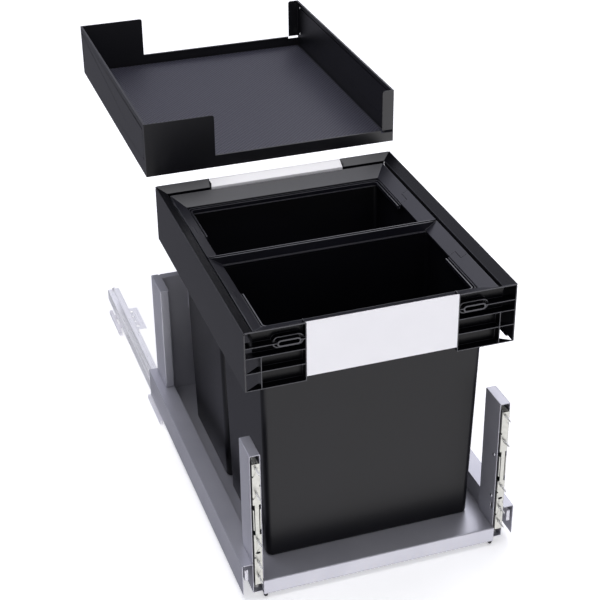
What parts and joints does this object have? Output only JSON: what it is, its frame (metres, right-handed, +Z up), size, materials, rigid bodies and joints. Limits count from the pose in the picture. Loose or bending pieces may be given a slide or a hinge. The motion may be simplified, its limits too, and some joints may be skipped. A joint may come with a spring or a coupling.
{
  "type": "waste pull-out",
  "caption": "Two-bin waste pull-out for a kitchen base cabinet, with full-extension runners, front-panel brackets and an organiser shelf above.",
  "frame": {"origin": "on the cabinet floor, midway between the rear pair of floor brackets, in the middle of the width", "axes": "+X to the right as seen from in front, +Y into the cabinet, along the runners, +Z up"},
  "size_m": [0.418, 0.954, 0.525],
  "materials": {
    "black_steel": "fine matt black powder coat",
    "mat_rubber": "matt anthracite rubber with a fine diamond relief",
    "zinc_steel": "bright zinc-plated sheet",
    "bright_steel": "bright plated steel",
    "white_plastic": "white moulded plastic",
    "white_steel": "satin white powder coat",
    "collar_plastic": "anthracite moulded plastic, fine grain",
    "bin_plastic": "anthracite moulded plastic, satin",
    "frame_plastic": "anthracite moulded plastic, fine grain",
    "zinc_casting": "bright zinc-plated pressing",
    "foot_plastic": "black moulded plastic",
    "grey_steel": "silver-grey powder-coated sheet steel"
  },
  "bodies": {
    "cabinet_fixed": {"shelf_tray": "black_steel", "shelf_mat": "mat_rubber", "cabinet_rail_left": "zinc_steel", "cabinet_rail_right": "zinc_steel", "floor_brackets_left": "zinc_steel", "floor_brackets_right": "zinc_steel", "side_spacers_left": "white_plastic", "side_spacers_right": "white_plastic"},
    "runner_middle": {"middle_rail_left": "zinc_steel", "middle_rail_right": "zinc_steel"},
    "outer_cages": {"outer_cage_left": "bright_steel", "outer_cage_right": "bright_steel"},
    "inner_cages": {"inner_cage_left": "bright_steel", "inner_cage_right": "bright_steel"},
    "carriage": {"drawer_rail_left": "zinc_steel", "drawer_rail_right": "zinc_steel", "base_tray": "grey_steel", "tray_feet": "foot_plastic", "rail_cover_left": "grey_steel", "rail_cover_right": "grey_steel", "rear_panel": "grey_steel", "rear_post_left": "grey_steel", "rear_post_right": "grey_steel", "front_upright_left": "grey_steel", "front_upright_right": "grey_steel", "upright_rivets": "bright_steel", "collar_side_left": "collar_plastic", "collar_side_right": "collar_plastic", "corner_front_left": "collar_plastic", "corner_front_right": "collar_plastic", "corner_rear_left": "collar_plastic", "corner_rear_right": "collar_plastic", "crossbar_front": "white_steel", "crossbar_rear": "white_steel", "collar_screws": "bright_steel", "collar_stay_left": "grey_steel", "collar_stay_right": "grey_steel", "latch_housing_left": "grey_steel", "latch_housing_right": "grey_steel"},
    "left_bracket": {"panel_bracket_left": "zinc_casting", "bracket_clip_left": "zinc_casting", "panel_screws_left": "bright_steel"},
    "right_bracket": {"panel_bracket_right": "zinc_casting", "bracket_clip_right": "zinc_casting", "panel_screws_right": "bright_steel"},
    "left_adjuster": {"adjuster_bolt_left": "bright_steel"},
    "right_adjuster": {"adjuster_bolt_right": "bright_steel"},
    "left_release": {"release_lever_left": "white_plastic"},
    "right_release": {"release_lever_right": "white_plastic"},
    "front_bin": {"front_bin": "bin_plastic"},
    "rear_bin": {"rear_bin": "bin_plastic"},
    "front_bag_frame": {"front_frame_outer": "frame_plastic", "front_frame_inner": "frame_plastic"},
    "rear_bag_frame": {"rear_frame_outer": "frame_plastic", "rear_frame_inner": "frame_plastic"}
  },
  "joints": [
    {"name": "drawer_slide", "type": "slide", "parent": "cabinet_fixed", "child": "carriage", "axis": [0, -1, 0], "range_m": [-0.38, 0.09]},
    {"name": "middle_slide", "type": "slide", "parent": "cabinet_fixed", "child": "runner_middle", "axis": [0, -1, 0], "range_m": [-0.19, 0.045]},
    {"name": "outer_cage_roll", "type": "slide", "parent": "cabinet_fixed", "child": "outer_cages", "axis": [0, -1, 0], "range_m": [-0.095, 0.0225]},
    {"name": "inner_cage_roll", "type": "slide", "parent": "cabinet_fixed", "child": "inner_cages", "axis": [0, -1, 0], "range_m": [-0.285, 0.0675]},
    {"name": "left_adjuster_turn", "type": "hinge", "parent": "carriage", "child": "left_adjuster", "pos_m": [-0.18075, -0.794, 0], "axis": [0, 0, 1], "range_deg": [-481, 481]},
    {"name": "left_bracket_height", "type": "slide", "parent": "carriage", "child": "left_bracket", "axis": [0, 0, 1], "range_m": [-0.002, 0.002]},
    {"name": "left_release_press", "type": "hinge", "parent": "carriage", "child": "left_release", "pos_m": [-0.1976, -0.784, 0.04555], "axis": [0, 0, 1], "range_deg": [0, 10], "stiffness_Nm_per_rad": 0.05, "springref_deg": -11.46},
    {"name": "right_adjuster_turn", "type": "hinge", "parent": "carriage", "child": "right_adjuster", "pos_m": [0.18075, -0.794, 0], "axis": [0, 0, 1], "range_deg": [-481, 481]},
    {"name": "right_bracket_height", "type": "slide", "parent": "carriage", "child": "right_bracket", "axis": [0, 0, 1], "range_m": [-0.002, 0.002]},
    {"name": "right_release_press", "type": "hinge", "parent": "carriage", "child": "right_release", "pos_m": [0.1976, -0.784, 0.04555], "axis": [0, 0, -1], "range_deg": [0, 10], "stiffness_Nm_per_rad": 0.05, "springref_deg": -11.46},
    {"name": "front_bin_lift", "type": "slide", "parent": "carriage", "child": "front_bin", "axis": [0, 0, 1], "range_m": [0, 0.42]},
    {"name": "front_frame_lift", "type": "slide", "parent": "front_bin", "child": "front_bag_frame", "axis": [0, 0, 1], "range_m": [0, 0.06]},
    {"name": "rear_bin_lift", "type": "slide", "parent": "carriage", "child": "rear_bin", "axis": [0, 0, 1], "range_m": [0, 0.42]},
    {"name": "rear_frame_lift", "type": "slide", "parent": "rear_bin", "child": "rear_bag_frame", "axis": [0, 0, 1], "range_m": [0, 0.06]}
  ],
  "couplings": [
    {"joint": "middle_slide", "follows": "drawer_slide", "ratio": 0.5},
    {"joint": "outer_cage_roll", "follows": "drawer_slide", "ratio": 0.25},
    {"joint": "inner_cage_roll", "follows": "drawer_slide", "ratio": 0.75},
    {"joint": "left_adjuster_turn", "follows": "left_bracket_height", "rad_per_m": -4188.8},
    {"joint": "right_adjuster_turn", "follows": "right_bracket_height", "rad_per_m": -4188.8}
  ]
}
